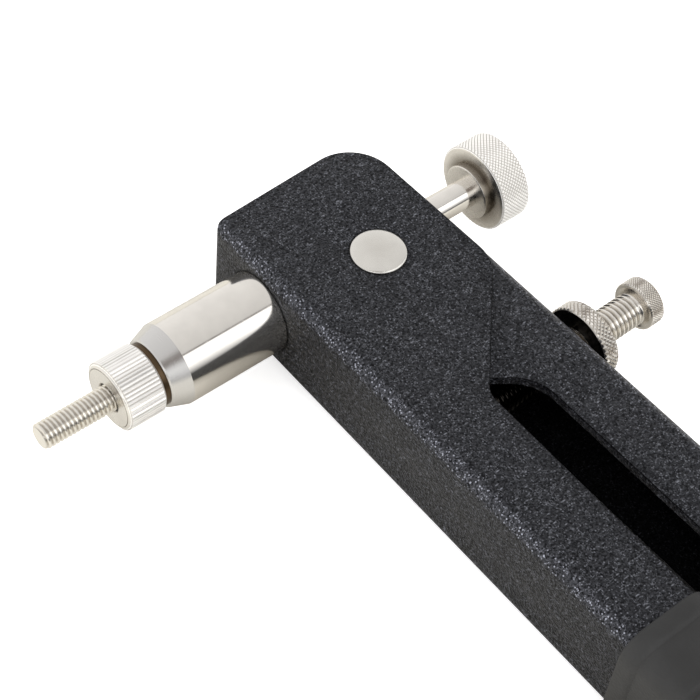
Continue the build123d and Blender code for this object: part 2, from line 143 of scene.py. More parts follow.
class Shader:
    """A material's node tree, with short ways to add nodes. A socket or a plain value can be an input."""

    def __init__(self, name, tree=None):
        if tree is None:
            self.material = bpy.data.materials.new(name)
            self.material.use_nodes = True
            tree = self.material.node_tree
        self.tree = tree
        self.tree.nodes.clear()

    def node(self, kind, inputs, **settings):
        """Adds a node, with its settings and its inputs by name or number."""
        made = self.tree.nodes.new("ShaderNode" + kind)
        for key, value in settings.items():
            setattr(made, key, value)
        for key, value in inputs.items():
            if isinstance(value, bpy.types.NodeSocket):
                self.tree.links.new(value, made.inputs[key])
            else:
                made.inputs[key].default_value = value
        return made

    def math(self, operation, first, second=0.0, clamp=False):
        return self.node("Math", {0: first, 1: second}, operation=operation, use_clamp=clamp).outputs[0]

    def vector_math(self, operation, first, second=(0, 0, 0)):
        return self.node("VectorMath", {0: first, 1: second}, operation=operation)

    def remap(self, value, low, high, to_low=0.0, to_high=1.0):
        """Takes low..high to to_low..to_high, and holds the ends."""
        names = {"Value": value, "From Min": low, "From Max": high, "To Min": to_low, "To Max": to_high}
        return self.node("MapRange", names).outputs[0]

    def mix(self, share, first, second):
        """Blends two colours."""
        mixer = self.node("Mix", {0: share, 6: first, 7: second}, data_type="RGBA")
        return mixer.outputs[2]

    def here(self):
        """The shaded point in the piece's own frame, in metres."""
        return self.node("TexCoord", {}).outputs["Object"]

    def noise(self, where, size, detail=2.0):
        """Noise from 0 to 1 whose lumps are about this size."""
        names = {"Vector": where, "Scale": 1 / size, "Detail": detail}
        return self.node("TexNoise", names).outputs["Fac"]

    def cells(self, where, size):
        """A Voronoi node whose cells are about this size."""
        return self.node("TexVoronoi", {"Vector": where, "Scale": 1 / size})

    def round_line(self, line):
        """(place along a line, distance from it, both as one vector) for the shaded point."""
        offset = self.vector_math("SUBTRACT", self.here(), line.point).outputs["Vector"]
        along = self.vector_math("DOT_PRODUCT", offset, line.direction).outputs["Value"]
        across = self.vector_math("SCALE", line.direction)
        self.tree.links.new(along, across.inputs["Scale"])
        away = self.vector_math("SUBTRACT", offset, across.outputs["Vector"]).outputs["Vector"]
        distance = self.vector_math("LENGTH", away).outputs["Value"]
        return self.node("CombineXYZ", {"X": along, "Y": distance}).outputs["Vector"]

    def bump(self, height, depth, strength=1.0):
        """Normal of a surface whose height, 0 to 1, stands for this depth."""
        names = {"Height": height, "Distance": depth, "Strength": strength}
        return self.node("Bump", names).outputs["Normal"]

    def surface(self, **inputs):
        """Ends the tree in a Principled surface and returns the material."""
        named = {key.replace("_", " "): value for key, value in inputs.items()}
        principled = self.node("BsdfPrincipled", named)
        self.node("OutputMaterial", {"Surface": principled.outputs["BSDF"]})
        return self.material


def grey(value, warmth=0.0):
    """A grey, warmer than neutral by a share."""
    return (value * (1 + warmth), value, value * (1 - warmth), 1.0)


COAT_PIT_SHADE = (0.0015, 0.0015, 0.0020, 1.0)
COAT_DARK = (0.009, 0.009, 0.011, 1.0)
COAT_LIGHT = (0.016, 0.016, 0.019, 1.0)
COAT_FOLD_HIGHLIGHT = (0.046, 0.047, 0.054, 1.0)
SPECK = (0.180, 0.187, 0.215, 1.0)
SPECK_FOLD_HIGHLIGHT = (0.34, 0.35, 0.41, 1.0)
COAT_SHEEN = (0.87, 0.91, 1.0, 1.0)
PEBBLE_SIZE = 0.52 * MM
CURL_SIZE = 0.95 * MM
FLECK_SIZE = 0.72 * MM
PATCH_SIZE = 9 * MM


def coat_specks(shader, bend, flecks_share):
    """How pale the specks in a powder coat are, 0 to 1: round grains, thin curls and short slanted flecks."""
    here = shader.here()
    grains = shader.cells(here, PEBBLE_SIZE)
    grain = shader.remap(grains.outputs["Distance"], 0.16, 0.42, 1.0, 0.0)
    chosen = shader.node("SeparateColor", {"Color": grains.outputs["Color"]}).outputs[0]
    grain = shader.math("MULTIPLY", grain, shader.remap(chosen, 0.48, 0.95))
    # Pale grains are denser on the folds: painted glints.
    grain = shader.math("MULTIPLY", grain, shader.remap(bend, 0.0, 1.0, 0.75, 2.3))

    curl = shader.math("ABSOLUTE", shader.math("SUBTRACT", shader.noise(here, CURL_SIZE, 1.0), 0.5))
    curl = shader.remap(curl, 0.008, 0.032, 1.0, 0.0)
    gaps = shader.remap(shader.noise(here, 1.1 * MM, 1.0), 0.42, 0.60)
    curl = shader.math("MULTIPLY", curl, gaps)

    slanted = shader.node("Mapping", {"Vector": here, "Rotation": (0.4, 0.3, 0.9), "Scale": (0.32, 1.0, 1.0)})
    strokes = shader.cells(slanted.outputs["Vector"], FLECK_SIZE)
    stroke = shader.remap(strokes.outputs["Distance"], 0.10, 0.26, 1.0, 0.0)
    picked = shader.node("SeparateColor", {"Color": strokes.outputs["Color"]}).outputs[1]
    stroke = shader.math("MULTIPLY", stroke, shader.remap(picked, 1 - flecks_share, 1.0))

    pale = shader.math("ADD", grain, shader.math("MULTIPLY", curl, 0.45))
    return shader.math("ADD", pale, stroke, clamp=True)


def channel_inside(shader, normal, inner_half, inward):
    """1 on the inner faces of a channel and 0 outside, from the surface's normal and its height."""
    height = shader.node("SeparateXYZ", {"Vector": shader.here()}).outputs["Z"]
    on_cheek = shader.math("LESS_THAN", shader.math("MULTIPLY", normal["Z"], height), -0.5 * inner_half)
    on_web = shader.math("GREATER_THAN", shader.math("MULTIPLY", normal["X"], inward), 0.5)
    between = shader.math("LESS_THAN", shader.math("ABSOLUTE", height), inner_half)
    return shader.math("MAXIMUM", on_cheek, shader.math("MULTIPLY", on_web, between))


def powder_coat(name, flecks_share, inner_half, inward, shade_rings=()):
    """Charcoal textured powder coat: a pebbled skin with painted shade in its pits, and pale specks.

    It is painted paler on the channel's folds, a painted highlight, and painted dark along the cheeks' free
    edges, a painted shade. The inside of the channel, within its inner half width and facing inward along X,
    is painted dark as painted shade. Painted shade also gathers in rings, each given as a line and the radius
    of the piece the coat meets.
    """
    shader = Shader(name)
    here = shader.here()
    normal = shader.node("SeparateXYZ", {"Vector": shader.node("TexCoord", {}).outputs["Normal"]}).outputs
    tilt = shader.math("MULTIPLY", shader.math("ABSOLUTE", normal["Z"]), normal["X"])
    tilt = shader.math("MULTIPLY", tilt, -inward)
    bend = shader.remap(tilt, 0.12, 0.50)
    free_edge = shader.remap(tilt, -0.25, -0.08, 1.0, 0.0)

    patches = shader.noise(here, PATCH_SIZE, 3.0)
    pebbles = shader.remap(shader.noise(here, PEBBLE_SIZE, 2.0), 0.34, 0.68)
    # The folds are painted paler: painted highlight.
    coat_tone = shader.mix(bend, shader.mix(patches, COAT_DARK, COAT_LIGHT), COAT_FOLD_HIGHLIGHT)
    # Painted shade in the pits of the pebbles.
    coat_tone = shader.mix(pebbles, COAT_PIT_SHADE, coat_tone)
    pale = coat_specks(shader, bend, flecks_share)
    colour = shader.mix(pale, coat_tone, shader.mix(bend, SPECK, SPECK_FOLD_HIGHLIGHT))

    mottle_and_shade = shader.remap(shader.noise(here, 0.8 * MM), 0.3, 0.7, 0.9, 1.0)
    inside = channel_inside(shader, normal, inner_half, inward)
    # Painted shade on the inside of the channel.
    mottle_and_shade = shader.math("MULTIPLY", mottle_and_shade, shader.remap(inside, 0.0, 1.0, 1.0, 0.18))
    # Painted shade along the cheeks' free edges.
    mottle_and_shade = shader.math("MULTIPLY", mottle_and_shade, shader.remap(free_edge, 0.0, 1.0, 1.0, 0.15))
    # Painted shade in rings round the pieces the coat meets.
    for line, radius in shade_rings:
        away = shader.node("SeparateXYZ", {"Vector": shader.round_line(line)}).outputs["Y"]
        mottle_and_shade = shader.math("MULTIPLY", mottle_and_shade, shader.remap(away, radius, radius + 0.7 * MM, 0.10, 1.0))
    relief = shader.math("ADD", pebbles, pale)
    return shader.surface(
        # Where the random mottle and painted shade fall low, the coat turns near black.
        Base_Color=shader.mix(mottle_and_shade, grey(0.001), colour),
        Roughness=shader.remap(patches, 0.3, 0.7, 0.34, 0.42),
        Specular_IOR_Level=shader.math("MULTIPLY", shader.remap(relief, 0.0, 1.6, 0.12, 0.70), mottle_and_shade),
        Specular_Tint=COAT_SHEEN,
        Normal=shader.bump(relief, 0.12 * MM),
    )


GROOVE_SHADE = (0.20, 0.17, 0.13, 1.0)
SATIN_TINT = (0.65, 0.64, 0.63, 1.0)
SATIN_ROUGHNESS = 0.14      # added to the polished roughness


def turned_metal(name, colour, roughness, line, marks=0.12, smudges=0.06, shaded_grooves=(), frost=0.0,
                 satin_from=None):
    """Metal cut or polished on a lathe: fine marks that run round its line, and faint smudges.

    Painted shade darkens its grooves, each given as the radius of its floor, the radius of its crest and a
    share.
    Frost is the share of light that the skin scatters evenly. The metal turns satin beyond a place
    along its line.
    """
    shader = Shader(name)
    here = shader.here()
    round_about = shader.round_line(line)
    rings = shader.noise(round_about, 0.10 * MM, 2.0)
    clouds = shader.noise(here, 4.0 * MM, 3.0)
    darker = tuple(0.94 * part for part in colour[:3]) + (1.0,)
    tint = shader.mix(shader.remap(clouds, 0.35, 0.70), darker, colour)
    away = shader.node("SeparateXYZ", {"Vector": round_about}).outputs["Y"]
    for floor, crest, share in shaded_grooves:
        # Painted shade, darkest at the groove's floor.
        groove_shade = shader.remap(away, floor, floor + 0.8 * (crest - floor), share, 0.0)
        groove_shade = shader.math("MULTIPLY", groove_shade, shader.math("GREATER_THAN", away, floor - 0.05 * MM))
        tint = shader.mix(groove_shade, tint, GROOVE_SHADE)
    rough = shader.math("ADD", shader.remap(clouds, 0.3, 0.7, roughness, roughness + smudges),
                        shader.remap(rings, 0.3, 0.7, 0.0, 0.04))
    if satin_from is not None:
        along = shader.node("SeparateXYZ", {"Vector": round_about}).outputs["X"]
        satin = shader.math("GREATER_THAN", along, satin_from)
        rough = shader.math("ADD", rough, shader.math("MULTIPLY", satin, SATIN_ROUGHNESS))
        tint = shader.mix(satin, tint, SATIN_TINT)
    return shader.surface(
        Base_Color=tint, Metallic=1 - frost, Roughness=rough, Normal=shader.bump(rings, 0.01 * MM, marks)
    )


def rough_metal(name, colour, roughness, lump):
    """Steel with a rolled or cast skin: a fine mottle in colour, roughness and height."""
    shader = Shader(name)
    here = shader.here()
    mottle = shader.noise(here, lump, 4.0)
    darker = tuple(0.7 * part for part in colour[:3]) + (1.0,)
    return shader.surface(
        Base_Color=shader.mix(shader.remap(mottle, 0.35, 0.65), darker, colour),
        Metallic=1.0,
        Roughness=shader.remap(mottle, 0.3, 0.7, roughness - 0.08, roughness + 0.08),
        Normal=shader.bump(mottle, 0.03 * MM, 0.35),
    )


def soft_pvc(name):
    """Matt black dipped PVC: a fine leathery grain with a dusty bloom on it."""
    shader = Shader(name)
    here = shader.here()
    grain = shader.cells(here, 0.7 * MM).outputs["Distance"]
    bloom = shader.noise(here, 14 * MM, 4.0)
    return shader.surface(
        Base_Color=shader.mix(shader.remap(bloom, 0.35, 0.75), grey(0.016), grey(0.030)),
        Roughness=shader.remap(bloom, 0.3, 0.7, 0.50, 0.64),
        Specular_IOR_Level=0.4,
        Normal=shader.bump(grain, 0.08 * MM, 0.5),
    )


def outer_radius(node, line):
    """Largest radius of a turned CAD node."""
    return rims(node, line)[1][-1]


NICKEL = (0.82, 0.79, 0.745, 1.0)
FROSTED = (0.97, 0.955, 0.93, 1.0)

body_inner_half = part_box("body_channel")[1].z - SHEET
lever_inner_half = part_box("lever_channel")[1].z - SHEET
housing_radius = outer_radius("nose_housing", spindle_line)
rivet_radius = outer_radius("pivot_rivet", rivet_line)
knob_radius = outer_radius("rear_knob", spindle_line)
boss_radius = rims("rear_knob", spindle_line)[1][3]
sleeve_radius = outer_radius("anvil_sleeve", spindle_line)
stop_head_radius = outer_radius("stop_screw", stop_line)
nut_radius = outer_radius("stop_lock_nut", stop_line)
sleeve_bore = rims("anvil_sleeve", spindle_line)[1][0]
sleeve_rim = rims("anvil_sleeve", spindle_line)[1][3]
mandrel_crest = rims("mandrel", spindle_line)[1][2]
stop_crest = rims("stop_screw", stop_line)[1][1]
cone_back = rims("nose_housing", spindle_line)[0][-3]

# The body's coat gets rings of painted shade round the nose housing and the pivot rivet.
body_coat = powder_coat("body_coat", 0.35, body_inner_half, -1,
                        [(spindle_line, housing_radius), (rivet_line, rivet_radius)])
lever_coat = powder_coat("lever_coat", 0.25, lever_inner_half, 1)
polished_nickel = turned_metal("polished_nickel", NICKEL, 0.07, spindle_line, marks=0.10, smudges=0.04,
                               satin_from=cone_back)
# Painted shade from shaded_grooves: in thread roots and knurl valleys, round the knob's boss, in the sleeve's
# bore and its fine rim groove, and over the middle of the rivet's head.
knob_nickel = turned_metal("knob_nickel", NICKEL, 0.22, spindle_line, marks=0.25,
                           shaded_grooves=[(boss_radius, boss_radius + 3.2 * MM, 0.85)])
knob_valley = knob_radius - KNOB_KNURL_DEPTH
knurled_nickel = turned_metal("knurled_nickel", FROSTED, 0.28, spindle_line, marks=0.5, frost=0.75,
                              shaded_grooves=[(knob_valley, knob_valley + 0.7 * KNOB_KNURL_DEPTH, 0.65)])
sleeve_nickel = turned_metal("sleeve_nickel", (0.84, 0.82, 0.79, 1.0), 0.20, spindle_line, marks=0.25,
                             shaded_grooves=[(sleeve_bore - 0.02 * MM, sleeve_bore + 0.42 * MM, 1.0),
                                      (sleeve_rim - RIM_WIDTH, sleeve_rim - RIM_WIDTH + 0.2 * MM, 0.9)])
ribbed_nickel = turned_metal("ribbed_nickel", FROSTED, 0.26, spindle_line, marks=0.6, frost=0.30,
                             shaded_grooves=[(sleeve_radius - SLEEVE_KNURL_DEPTH, sleeve_radius, 0.6)])
# The polished neck is painted dark brown: painted reflection and shade of the narrow gap between sleeve and
# housing.
neck_dark_reflection = turned_metal("neck_dark_reflection", (0.10, 0.068, 0.04, 1.0), 0.28, spindle_line, marks=0.25)
mandrel_nickel = turned_metal("mandrel_nickel", (0.84, 0.81, 0.755, 1.0), 0.16, spindle_line,
                              shaded_grooves=[(mandrel_crest - THREAD_DEPTH * MANDREL_PITCH, mandrel_crest, 0.3)])
rivet_nickel = turned_metal("rivet_nickel", (0.74, 0.72, 0.68, 1.0), 0.17, rivet_line, marks=0.35,
                            shaded_grooves=[(0.0, 1.2 * rivet_radius, 0.20)], frost=0.10)
stop_nickel = turned_metal("stop_nickel", NICKEL, 0.16, stop_line, marks=0.25,
                           shaded_grooves=[(stop_crest - THREAD_DEPTH * STOP_PITCH, stop_crest, 0.6),
                                    (stop_head_radius - STOP_KNURL_DEPTH, stop_head_radius, 0.4)])
nut_nickel = turned_metal("nut_nickel", NICKEL, 0.16, stop_line, marks=0.25,
                          shaded_grooves=[(nut_radius - NUT_KNURL_DEPTH, nut_radius, 0.4)])
plain_steel = rough_metal("plain_steel", (0.17, 0.165, 0.16, 1.0), 0.38, 0.6 * MM)
spring_steel = rough_metal("spring_steel", (0.32, 0.31, 0.30, 1.0), 0.28, 0.3 * MM)
# Painted shade: near-black metal for the stop screw's length inside the slot and for the lock nut's front
# face.
painted_shade_black = turned_metal("painted_shade_black", (0.020, 0.018, 0.016, 1.0), 0.16, stop_line, marks=0.25)
black_oxide = rough_metal("black_oxide", (0.045, 0.045, 0.048, 1.0), 0.38, 0.4 * MM)
grip_pvc = soft_pvc("grip_pvc")

# ---- CAD nodes that stay: softened edges, smooth shading and a material ----


def smooth_shading_group(angle):
    """Geometry nodes that shade a mesh smooth except across edges sharper than an angle."""
    group = bpy.data.node_groups.new("smooth_by_angle", "GeometryNodeTree")
    group.interface.new_socket("Geometry", in_out="INPUT", socket_type="NodeSocketGeometry")
    group.interface.new_socket("Geometry", in_out="OUTPUT", socket_type="NodeSocketGeometry")
    start = group.nodes.new("NodeGroupInput")
    end = group.nodes.new("NodeGroupOutput")
    faces = group.nodes.new("GeometryNodeSetShadeSmooth")
    edges = group.nodes.new("GeometryNodeSetShadeSmooth")
    edges.domain = "EDGE"
    edges.inputs["Shade Smooth"].default_value = False
    bend = group.nodes.new("GeometryNodeInputMeshEdgeAngle")
    sharper = group.nodes.new("FunctionNodeCompare")
    sharper.operation = "GREATER_THAN"
    sharper.inputs["B"].default_value = angle
    group.links.new(start.outputs[0], faces.inputs["Geometry"])
    group.links.new(faces.outputs[0], edges.inputs["Geometry"])
    group.links.new(bend.outputs["Unsigned Angle"], sharper.inputs["A"])
    group.links.new(sharper.outputs[0], edges.inputs["Selection"])
    group.links.new(edges.outputs[0], end.inputs[0])
    return group


SHARP_ANGLE = radians(32)
SHARP_TURNED_ANGLE = radians(14)
smooth_by_angle = smooth_shading_group(SHARP_ANGLE)
smooth_turned = smooth_shading_group(SHARP_TURNED_ANGLE)


def dress(node, material, edge_radius, smoothing=smooth_by_angle):
    """Gives a CAD node its material and rounds its edges a little, with modifiers only."""
    piece = frame["nodes"][node]
    weld = piece.modifiers.new("weld", "WELD")
    weld.merge_threshold = 0.001 * MM
    if smoothing is smooth_by_angle:
        flatten = piece.modifiers.new("flat_faces", "DECIMATE")
        flatten.decimate_type = "DISSOLVE"
        flatten.angle_limit = radians(0.2)
    rounding = piece.modifiers.new("soft_edges", "BEVEL")
    rounding.width = edge_radius
    rounding.segments = 3
    rounding.limit_method = "ANGLE"
    rounding.angle_limit = SHARP_ANGLE
    shading = piece.modifiers.new("shading", "NODES")
    shading.node_group = smoothing
    piece.data.materials.clear()
    piece.data.materials.append(material)


dress("body_channel", body_coat, 0.35 * MM)
dress("lever_channel", lever_coat, 0.35 * MM)
dress("nose_housing", polished_nickel, 0.08 * MM, smooth_turned)
dress("spindle", polished_nickel, 0.10 * MM, smooth_turned)
dress("knob_screw", black_oxide, 0.10 * MM)
for hidden_steel in ("housing_lock_washer", "housing_nut", "mandrel_coupling", "coupling_pin",
                     "spring_seat_washer", "thrust_collar", "collar_pin", "thrust_washer",
                     "yoke", "yoke_snap_ring", "trunnion_pins", "stop_weld_nut"):
    dress(hidden_steel, plain_steel, 0.15 * MM)

# ---- Meshes grown ring by ring along +X ----


def each(value, count):
    """A list of values: the value itself if it is a list already, or the same one for every place."""
    return value if isinstance(value, list) else [value] * count


def ring(mesh, angles, place, radius):
    """One ring of vertices. Place and radius are numbers, or lists with one for each angle."""
    rows = zip(angles, each(place, len(angles)), each(radius, len(angles)))
    return [mesh.verts.new((x, r * cos(angle), r * sin(angle))) for angle, x, r in rows]


def skin(mesh, first, second):
    """Joins two rings with quads."""
    for i in range(len(first)):
        mesh.faces.new((first[i - 1], first[i], second[i], second[i - 1]))


def skin_through(mesh, rings):
    """Joins rings in order."""
    for first, second in zip(rings, rings[1:]):
        skin(mesh, first, second)


def even_angles(count):
    return [FULL_TURN * i / count for i in range(count)]


def finished(mesh, name, matrix, body, material, slot, *nodes):
    """Turns a grown mesh into a piece that stands for its CAD node and rides on its body."""
    bmesh.ops.recalc_face_normals(mesh, faces=mesh.faces)
    data = bpy.data.meshes.new(name)
    mesh.to_mesh(data)
    mesh.free()
    data.transform(matrix)
    data.shade_smooth()
    data.set_sharp_from_angle(angle=SHARP_ANGLE)
    data.materials.append(material)
    piece = bpy.data.objects.new(name, data)
    bpy.context.scene.collection.objects.link(piece)
    if body:
        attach(piece, body)
    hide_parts(*nodes)
    return piece


def second_material(piece, line, material, start, end):
    """Gives another material to the faces whose centres lie between two places along a line."""
    piece.data.materials.append(material)
    for face in piece.data.polygons:
        if start < (face.center - line.point).dot(line.direction) < end:
            face.material_index = len(piece.data.materials) - 1


# ---- Threads ----

STATIONS = 12           # rings in one pitch
CREST_SHARE = 0.30      # flat share of a tooth at its crest
ROOT_SHARE = 0.08


def tooth_height(turn):
    """Height of the thread's tooth, 0 at the root and 1 at the crest, for a share of a pitch."""
    climb = abs(2 * (turn % 1) - 1)
    rise = (climb - ROOT_SHARE) / (1 - ROOT_SHARE - CREST_SHARE)
    rise = min(1, max(0, rise))
    return rise * rise * (3 - 2 * rise)


def thread(mesh, angles, start, end, crest, pitch, chamfer=0.0, fade=0.0):
    """Rings of a right-hand thread. The start is chamfered and the end fades out to the crest's radius."""
    count = round(abs(end - start) / pitch * STATIONS)
    rings = []
    for i in range(count + 1):
        place = start + (end - start) * i / count
        limit = crest - max(0, chamfer - abs(place - start))
        depth = THREAD_DEPTH * pitch
        if fade:
            depth *= min(1, abs(place - end) / fade)
        reach = [min(limit, crest - depth * (1 - tooth_height(place / pitch - angle / FULL_TURN)))
                 for angle in angles]
        rings.append(ring(mesh, angles, place, reach))
    return rings


# ---- Knurls ----

LAND = 0.20     # share of a knurl's cell that is its flat top


def cell_angles(cells):
    """Three angles for each cell of a knurl: its valley and both edges of its flat top."""
    shares = (0, (1 - LAND) / 2, (1 + LAND) / 2)
    return [FULL_TURN * (cell + share) / cells for cell in range(cells) for share in shares]


def diamond_band(mesh, cells, rows, start, end, radius, depth):
    """A band of diamond knurling from start to end: rows of pyramids with flat tops.

    The rows count half cells and are even. At each end a 45-degree chamfer cuts the valleys.
    Returns the two end rings, which match cell_angles.
    """
    columns = 2 * cells
    outwards = depth if end > start else -depth

    def vertex(column, row, reach, shift=0.0):
        angle = FULL_TURN * column / columns
        place = start + (end - start) * row / rows + shift
        return mesh.verts.new((place, reach * cos(angle), reach * sin(angle)))

    valleys, tops = {}, {}
    for row in range(rows + 1):
        for column in range(columns):
            if (row + column) % 2 == 0:
                shift = {0: -outwards, rows: outwards}.get(row, 0.0)
                valleys[column, row] = vertex(column, row, radius - depth, shift)
                continue
            top = {"left": vertex(column - LAND, row, radius), "right": vertex(column + LAND, row, radius)}
            if row > 0:
                top["low"] = vertex(column, row - LAND, radius)
            if row < rows:
                top["high"] = vertex(column, row + LAND, radius)
            order = [side for side in ("left", "low", "right", "high") if side in top]
            mesh.faces.new([top[side] for side in order])
            tops[column, row] = top

    for row in range(rows):
        for column in range(columns):
            beside = (column + 1) % columns
            if (row + column) % 2 == 0:
                valley, opposite = valleys[column, row], valleys[beside, row + 1]
                under, over = tops[beside, row], tops[column, row + 1]
                mesh.faces.new((valley, under["left"], under["high"], opposite))
                mesh.faces.new((valley, opposite, over["right"], over["low"]))
            else:
                valley, opposite = valleys[beside, row], valleys[column, row + 1]
                under, over = tops[column, row], tops[beside, row + 1]
                mesh.faces.new((under["right"], valley, opposite, under["high"]))
                mesh.faces.new((valley, over["low"], over["left"], opposite))

    def end_ring(row):
        found = []
        for column in range(0, columns, 2):
            found += [valleys[column, row], tops[column + 1, row]["left"], tops[column + 1, row]["right"]]
        return found

    return end_ring(0), end_ring(rows)


# ---- The turned pieces ----


def make_rivet():
    """Pivot rivet: a shank with a low dome at each end, round right down to its edge."""
    places, radii = rims("pivot_rivet", rivet_line)
    crown, cheek = places[-1], places[-3]
    shank, head = radii[1:]
    mesh = bmesh.new()
    angles = even_angles(96)
    dome = [(cheek + (crown - cheek) * sin(turn), head * cos(turn))
            for turn in (radians(step) for step in range(0, 90, 5))]
    far_dome = [(-place, radius) for place, radius in reversed(dome)]
    outline = far_dome + [(-cheek, shank), (cheek, shank)] + dome
    rings = [ring(mesh, angles, place, radius) for place, radius in outline]
    skin_through(mesh, rings)
    mesh.faces.new(rings[0])
    mesh.faces.new(rings[-1])
    finished(mesh, "domed_pivot_rivet", placement(rivet_line), "frame", rivet_nickel,
             "satin_nickel", "pivot_rivet")


def make_mandrel():
    """M6 mandrel: threaded from its tip to inside the sleeve, then a plain core, a hexagon and a stub."""
    places, radii = rims("mandrel", spindle_line)
    stub_end, hex_back, hex_front, _, _, tip = places
    tip_edge, core, crest, stub, hex_corner = radii
    pitch = MANDREL_PITCH
    hidden_thread = 9 * MM
    mesh = bmesh.new()
    angles = even_angles(72)
    threaded = thread(mesh, angles, tip, -hidden_thread, crest, pitch, chamfer=crest - tip_edge, fade=pitch)
    half_side = radians(30)
    hexagon = [hex_corner * cos(half_side) / cos((angle + half_side) % (2 * half_side) - half_side)
               for angle in angles]
    back = [ring(mesh, angles, place, radius) for place, radius in (
        (-hidden_thread - 0.5 * MM, core), (hex_front, core), (hex_front, hexagon), (hex_back, hexagon),
        (hex_back, stub), (stub_end, stub))]
    skin_through(mesh, threaded + back)
    mesh.faces.new(threaded[0])
    mesh.faces.new(back[-1])
    finished(mesh, "threaded_mandrel", placement(spindle_line), "spindle", mandrel_nickel,
             "thread_nickel", "mandrel")


def make_anvil_sleeve():
    """Anvil sleeve: a bored ring with uneven straight knurling, a neck and a threaded spigot."""
    places, radii = rims("anvil_sleeve", spindle_line)
    spigot_end, shoulder, knurl_back, full_back, full_front, front = places
    bore, thread_crest, neck, front_rim, back_rim, crest = radii
    ribs = 58
    bore_break = 0.30 * MM
    chance = random.Random(4)
    depths = []
    for _ in range(ribs):
        shares = [chance.uniform(0.55, 1.0), chance.uniform(0, 0.10), chance.uniform(0, 0.10)]
        depths += [share * SLEEVE_KNURL_DEPTH for share in shares]
    mesh = bmesh.new()
    angles = cell_angles(ribs)
    ribbed = [crest - depth for depth in depths]
    inner_rim = front_rim - RIM_WIDTH
    face = [  # drop behind the front, and radius: the broken bore, a fine groove and the rounded rim
        (bore_break, bore), (0, bore + bore_break), (0, inner_rim - 0.04 * MM), (0.12 * MM, inner_rim),
        (0.02 * MM, inner_rim + 0.12 * MM), (0.05 * MM, front_rim - 0.25 * MM),
        (0.18 * MM, front_rim - 0.04 * MM), (0.34 * MM, front_rim + 0.04 * MM)]
    rings = [ring(mesh, angles, front - drop, radius) for drop, radius in face]
    rings += [
        ring(mesh, angles, [full_front + depth for depth in depths], ribbed),
        ring(mesh, angles, [full_back - depth for depth in depths], ribbed),
        ring(mesh, angles, knurl_back, back_rim),
        ring(mesh, angles, knurl_back, neck),
        ring(mesh, angles, shoulder, neck),
    ]
    rings += thread(mesh, angles, shoulder, spigot_end, thread_crest, SPIGOT_PITCH)
    rings.append(ring(mesh, angles, spigot_end, bore))
    skin_through(mesh, rings + rings[:1])
    sleeve = finished(mesh, "knurled_anvil_sleeve", placement(spindle_line), "anvil", sleeve_nickel,
                      "knurled_nickel", "anvil_sleeve")
    second_material(sleeve, spindle_line, neck_dark_reflection, shoulder, knurl_back)
    second_material(sleeve, spindle_line, ribbed_nickel, knurl_back, front - SLEEVE_FACE_DEPTH)


def make_rear_knob():
    """Rear knob: a diamond-knurled wheel with a boss in front and a recess behind."""
    places, radii = rims("rear_knob", spindle_line)
    back, back_full, recess, front_full, front, _, boss_front = places
    seat, recess_radius, _, boss, rim, crest = radii
    cells = 62
    rows = 16
    edge = 0.35 * MM
    chamfer = 0.15 * MM
    mesh = bmesh.new()
    angles = cell_angles(cells)
    knurl_front, knurl_back = diamond_band(mesh, cells, rows, front_full, back_full, crest, KNOB_KNURL_DEPTH)
    round_edge = [(boss_front - edge * (1 - cos(turn)), boss - edge * (1 - sin(turn)))
                  for turn in (radians(step) for step in range(0, 91, 15))]
    before = [ring(mesh, angles, place, radius) for place, radius in (
        (boss_front, seat), *round_edge, (front, boss), (front, rim - edge), (front - chamfer, rim))]
    behind = [ring(mesh, angles, place, radius) for place, radius in (
        (back + chamfer, rim), (back, rim - 0.25 * MM), (back, recess_radius + 0.3 * MM),
        (back + 0.3 * MM, recess_radius), (recess, recess_radius), (recess, seat))]
    skin_through(mesh, before + [knurl_front])
    skin_through(mesh, [knurl_back] + behind + before[:1])
    knob = finished(mesh, "knurled_rear_knob", placement(spindle_line), "spindle", knob_nickel,
                    "knurled_nickel", "rear_knob")
    second_material(knob, spindle_line, knurled_nickel, back + 0.1 * MM, front - 0.1 * MM)


def make_stop_screw():
    """M8 stop screw: threaded from its tip to a plain neck, with a knurled head that is cupped in front."""
    places, radii = rims("stop_screw", stop_line)
    back, back_full, cup, front_full, front, _, tip = places
    tip_edge, crest, cup_radius, back_rim, front_rim, head = radii
    pitch = STOP_PITCH
    neck = 0.5 * MM
    shaded_length = 30 * MM
    cells = 54
    rows = 10
    mesh = bmesh.new()
    angles = cell_angles(cells)
    knurl_front, knurl_back = diamond_band(mesh, cells, rows, front_full, back_full, head, STOP_KNURL_DEPTH)
    threaded = thread(mesh, angles, tip, front + neck, crest, pitch, chamfer=crest - tip_edge, fade=pitch)
    rings = threaded + [
        ring(mesh, angles, cup, crest), ring(mesh, angles, front, cup_radius),
        ring(mesh, angles, front, front_rim), knurl_front,
    ]
    skin_through(mesh, rings)
    mesh.faces.new(threaded[0])
    rear = ring(mesh, angles, back, back_rim)
    skin(mesh, knurl_back, rear)
    mesh.faces.new(rear)
    screw = finished(mesh, "knurled_stop_screw", placement(stop_line), "stop_screw", stop_nickel,
                     "thread_nickel", "stop_screw")
    # The screw's length inside the slot is painted near black: painted shade.
    second_material(screw, stop_line, painted_shade_black, tip - shaded_length, tip)


